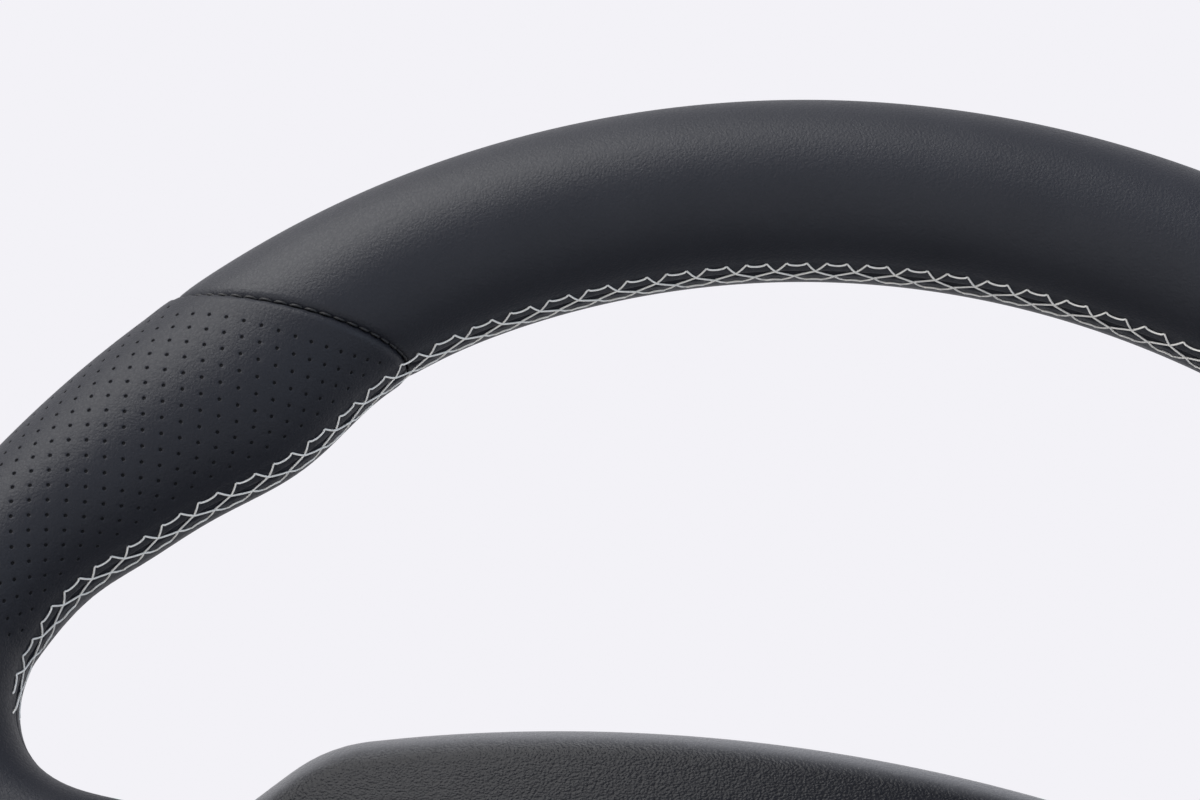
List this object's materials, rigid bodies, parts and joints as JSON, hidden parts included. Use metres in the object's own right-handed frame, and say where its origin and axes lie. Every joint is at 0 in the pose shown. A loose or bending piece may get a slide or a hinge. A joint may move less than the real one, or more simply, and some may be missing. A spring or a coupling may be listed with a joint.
{
  "type": "car steering wheel",
  "caption": "Leather-wrapped car steering wheel with perforated grips, thumb rests, laced inner edge, three spokes and a grained airbag cover that presses in to sound the horn",
  "frame": {"origin": "On the steering axis, in the column-side mouth of the hub bore.", "axes": "Y is the steering axis and +Y points to the column, so the driver is on the -Y side. +Z points to twelve o'clock and +X to three o'clock as the driver sees it."},
  "size_m": [0.37, 0.0965, 0.37],
  "materials": {
    "leather_smooth": "smooth, fine grain, satin",
    "leather_perforated": "perforated, satin",
    "thread_pale": "twisted thread",
    "grained_plastic": "leather grain",
    "black_plastic": "fine texture",
    "foam": "moulded skin",
    "steel": "zinc plated",
    "cast_alloy": "as cast",
    "nylon": "natural",
    "contact_brass": "plain",
    "cushion_cloth": "woven"
  },
  "bodies": {
    "wheel": {"rim_core": "steel", "spoke_casting": "cast_alloy", "hub_bush": "steel", "rim_foam": "foam", "leather_top": "leather_smooth", "leather_grip_left": "leather_perforated", "leather_grip_right": "leather_perforated", "leather_bottom": "leather_smooth", "lacing_thread": "thread_pale", "guide_bushes": "nylon", "horn_contacts": "contact_brass", "rear_cover": "black_plastic", "rear_screws": "steel", "lower_spoke_front": "black_plastic", "lower_spoke_rear": "black_plastic"},
    "airbag_module": {"airbag_cover": "grained_plastic", "base_tray": "steel", "cover_rivets": "steel", "cushion": "cushion_cloth", "retainer_ring": "steel", "inflator": "steel", "module_nuts": "steel", "guide_pins": "steel", "pin_clips": "steel", "horn_springs": "steel"}
  },
  "joints": [
    {"name": "horn_press", "type": "slide", "parent": "wheel", "child": "airbag_module", "axis": [0, 1, 0], "range_m": [0, 0.0025], "stiffness_N_per_m": 8000, "springref_m": -0.002, "deforming": ["horn_springs"]}
  ]
}
